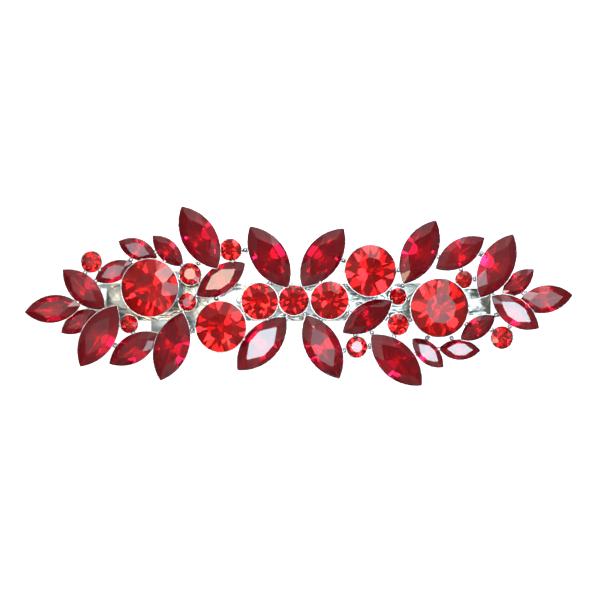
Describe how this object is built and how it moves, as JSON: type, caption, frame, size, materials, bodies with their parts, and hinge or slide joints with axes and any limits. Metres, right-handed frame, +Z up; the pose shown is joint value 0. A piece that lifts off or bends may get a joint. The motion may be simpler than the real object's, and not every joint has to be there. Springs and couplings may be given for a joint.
{
  "type": "hair barrette",
  "caption": "Arched crystal cluster barrette: red round and pointed glass stones in bright cast cups, on an automatic French clip with a sprung squeeze latch.",
  "frame": {"origin": "middle of the footprint, on the surface that the closed clip lies on", "axes": "+X along the clip towards the hinge, +Y across it, +Z up out of the stones"},
  "size_m": [0.1005, 0.0328, 0.0152],
  "materials": {
    "scarlet_glass": "foil-backed faceted bright red glass",
    "crimson_glass": "foil-backed faceted deep red glass",
    "bright_casting": "bright rhodium-coloured plate on a casting",
    "nickel_sheet": "nickel-plated sheet, slightly worn",
    "spring_steel": "plated spring steel",
    "solder": "dull soft solder"
  },
  "bodies": {
    "front": {"front_casting": "bright_casting", "round_01": "scarlet_glass", "round_02": "scarlet_glass", "round_03": "scarlet_glass", "round_04": "scarlet_glass", "round_05": "scarlet_glass", "round_06": "scarlet_glass", "round_07": "scarlet_glass", "round_08": "scarlet_glass", "round_09": "scarlet_glass", "round_10": "scarlet_glass", "round_11": "scarlet_glass", "round_12": "scarlet_glass", "round_13": "scarlet_glass", "round_14": "scarlet_glass", "round_15": "scarlet_glass", "round_16": "scarlet_glass", "round_17": "scarlet_glass", "navette_01": "crimson_glass", "navette_02": "crimson_glass", "navette_03": "crimson_glass", "navette_04": "crimson_glass", "navette_05": "crimson_glass", "navette_06": "crimson_glass", "navette_07": "crimson_glass", "navette_08": "crimson_glass", "navette_09": "crimson_glass", "navette_10": "crimson_glass", "navette_11": "crimson_glass", "navette_12": "crimson_glass", "navette_13": "crimson_glass", "navette_14": "crimson_glass", "navette_15": "crimson_glass", "navette_16": "crimson_glass", "navette_17": "crimson_glass", "navette_18": "crimson_glass", "navette_19": "crimson_glass", "navette_20": "crimson_glass", "navette_21": "crimson_glass", "navette_22": "crimson_glass", "navette_23": "crimson_glass", "navette_24": "crimson_glass", "navette_25": "crimson_glass", "navette_26": "crimson_glass", "top_plate": "nickel_sheet", "hinge_pin": "spring_steel", "latch_base": "nickel_sheet", "latch_rivet": "nickel_sheet", "solder_pad_left": "solder", "solder_pad_middle": "solder", "solder_pad_right": "solder"},
    "arm": {"clasp_arm": "nickel_sheet"},
    "bow": {"tension_bow": "spring_steel"},
    "jaw_front": {"latch_jaw_front": "nickel_sheet"},
    "jaw_back": {"latch_jaw_back": "nickel_sheet"}
  },
  "joints": [
    {"name": "arm_hinge", "type": "hinge", "parent": "front", "child": "arm", "pos_m": [0.0336, -0.0011, 0.00115], "axis": [0, -1, 0], "range_deg": [0, 70]},
    {"name": "bow_press", "type": "hinge", "parent": "front", "child": "bow", "pos_m": [0.0336, -0.0011, 0.00115], "axis": [0, 1, 0], "range_deg": [0, 2], "stiffness_Nm_per_rad": 0.05, "springref_deg": -5.73},
    {"name": "jaw_front_squeeze", "type": "hinge", "parent": "front", "child": "jaw_front", "pos_m": [-0.02359, -0.00243, 0.00709], "axis": [0.9889, 0, 0.1484], "range_deg": [0, 7], "stiffness_Nm_per_rad": 0.05},
    {"name": "jaw_back_squeeze", "type": "hinge", "parent": "front", "child": "jaw_back", "pos_m": [-0.02359, 0.00022, 0.00709], "axis": [-0.9889, 0, -0.1484], "range_deg": [0, 7], "stiffness_Nm_per_rad": 0.05}
  ]
}
